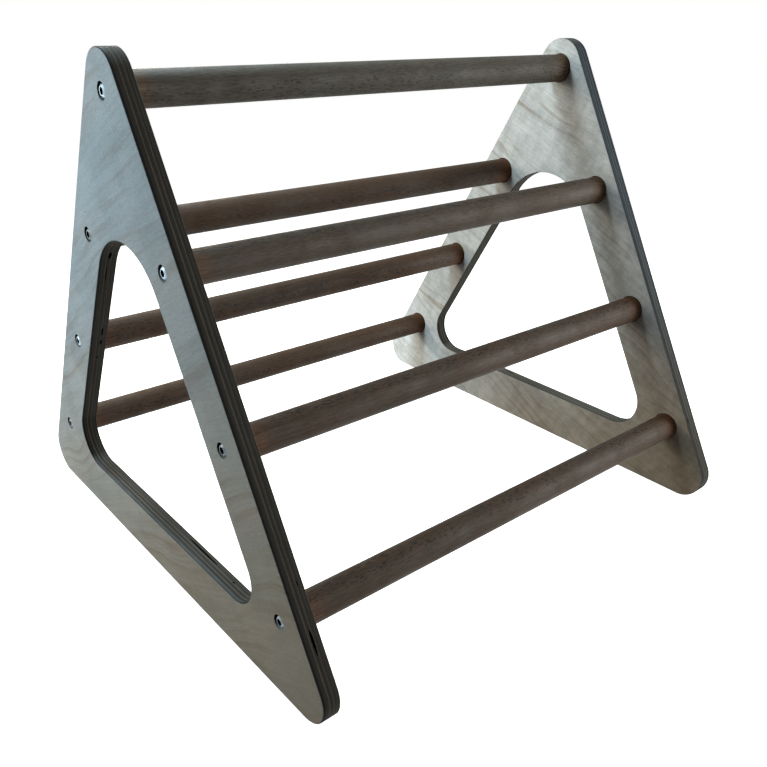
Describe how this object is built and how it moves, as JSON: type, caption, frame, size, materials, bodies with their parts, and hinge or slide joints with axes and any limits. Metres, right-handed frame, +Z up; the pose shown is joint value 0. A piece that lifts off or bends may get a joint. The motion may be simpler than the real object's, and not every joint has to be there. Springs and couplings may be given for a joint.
{
  "type": "climbing triangle",
  "caption": "Small indoor climbing triangle for toddlers: triangular plywood side panels with round-cornered windows, joined by round beech rungs and sunk socket bolts.",
  "frame": {"origin": "middle of the footprint, on the floor", "axes": "+X along the rungs towards the right-hand panel, -Y towards the front, +Z up"},
  "size_m": [0.616, 0.6026, 0.53],
  "materials": {
    "plywood": "clear lacquered birch plywood, satin",
    "beech": "oiled steamed beech, fine grain",
    "zinc": "bright zinc plated",
    "brass": "turned, as machined"
  },
  "bodies": {
    "root": {"left_panel": "plywood", "right_panel": "plywood", "rung_top": "beech", "rung_front_1": "beech", "rung_front_2": "beech", "rung_front_3": "beech", "rung_back_1": "beech", "rung_back_2": "beech", "rung_back_3": "beech", "bolt_left_top": "zinc", "bolt_left_front_1": "zinc", "bolt_left_front_2": "zinc", "bolt_left_front_3": "zinc", "bolt_left_back_1": "zinc", "bolt_left_back_2": "zinc", "bolt_left_back_3": "zinc", "bolt_right_top": "zinc", "bolt_right_front_1": "zinc", "bolt_right_front_2": "zinc", "bolt_right_front_3": "zinc", "bolt_right_back_1": "zinc", "bolt_right_back_2": "zinc", "bolt_right_back_3": "zinc", "insert_left_top": "brass", "insert_left_front_1": "brass", "insert_left_front_2": "brass", "insert_left_front_3": "brass", "insert_left_back_1": "brass", "insert_left_back_2": "brass", "insert_left_back_3": "brass", "insert_right_top": "brass", "insert_right_front_1": "brass", "insert_right_front_2": "brass", "insert_right_front_3": "brass", "insert_right_back_1": "brass", "insert_right_back_2": "brass", "insert_right_back_3": "brass"}
  },
  "joints": []
}
